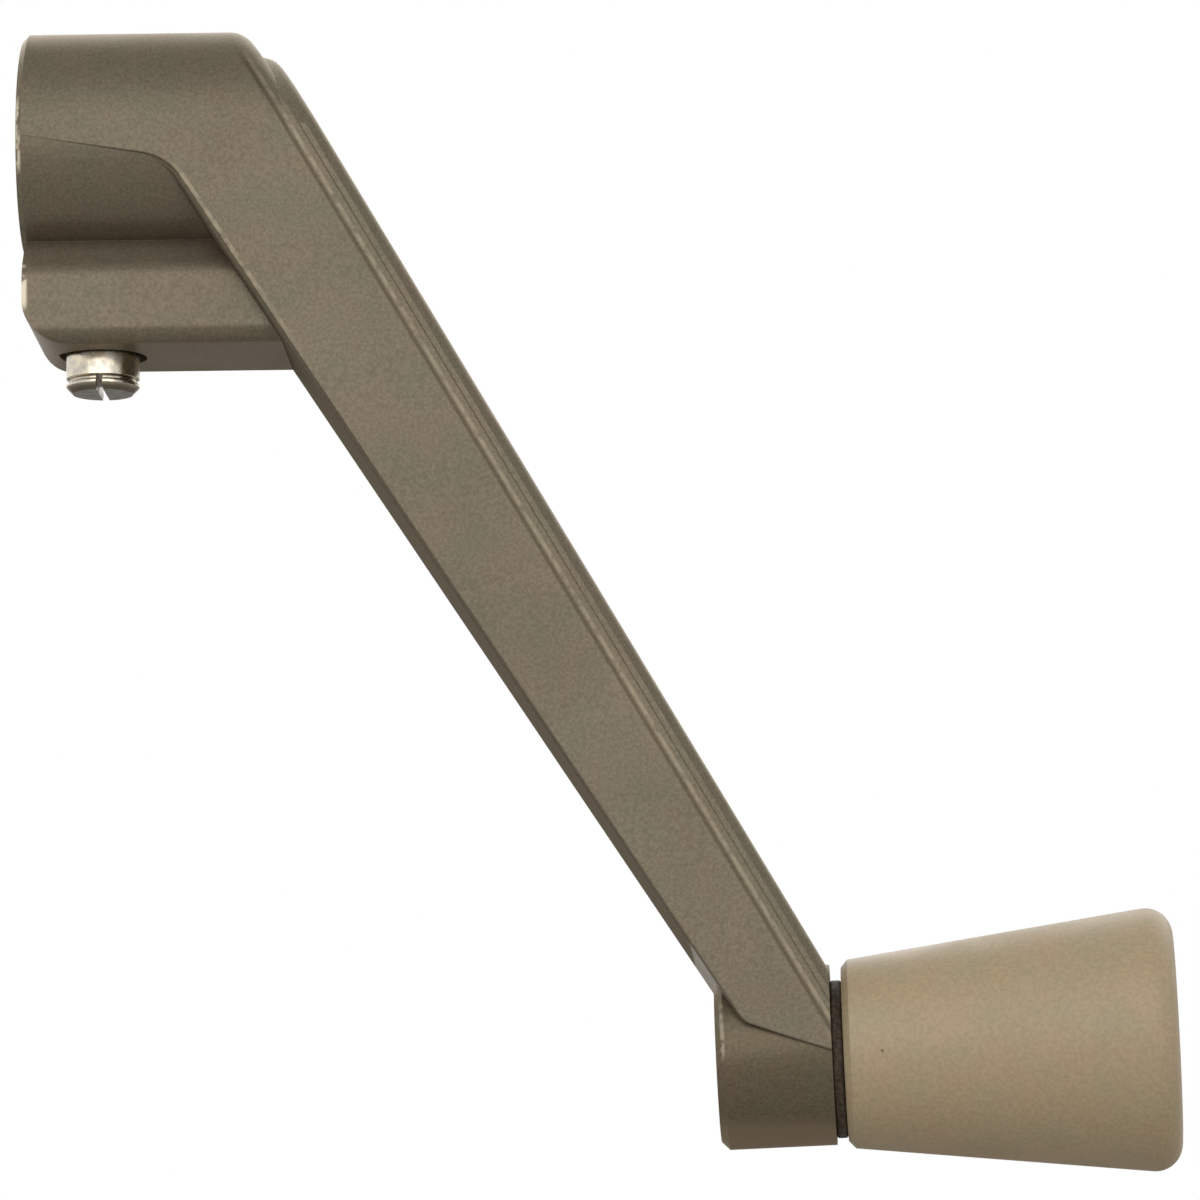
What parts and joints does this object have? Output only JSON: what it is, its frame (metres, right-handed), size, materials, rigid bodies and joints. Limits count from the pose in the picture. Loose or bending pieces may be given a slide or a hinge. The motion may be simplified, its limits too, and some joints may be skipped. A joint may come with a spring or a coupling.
{
  "type": "crank handle",
  "caption": "Window operator crank handle: splined hub with a set screw, offset tapered arm and a knob that spins on its pin.",
  "frame": {"origin": "centre of the hub's open mouth, on the axis of the splined bore", "axes": "+X along the bore from the mouth into the hub, -Z down the arm from the hub to the knob, Y across; the part is symmetric about Y = 0 apart from the turn of the screw's slot"},
  "size_m": [0.0857, 0.0194, 0.0864],
  "materials": {
    "bronze_paint": "satin",
    "plated_steel": "satin",
    "dark_washer": "matte",
    "tan_plastic": "satin"
  },
  "bodies": {
    "handle": {"crank_arm": "bronze_paint", "knob_pin": "plated_steel", "knob_washer": "dark_washer"},
    "knob": {"knob": "tan_plastic"},
    "set_screw": {"set_screw": "plated_steel"}
  },
  "joints": [
    {"name": "knob_spin", "type": "hinge", "parent": "handle", "child": "knob", "pos_m": [0.0601, 0, -0.06895], "axis": [0.9993, 0, 0.0384], "continuous": true},
    {"name": "set_screw_travel", "type": "slide", "parent": "handle", "child": "set_screw", "axis": [0, 0, 1], "range_m": [-0.008, 0.0015]}
  ]
}
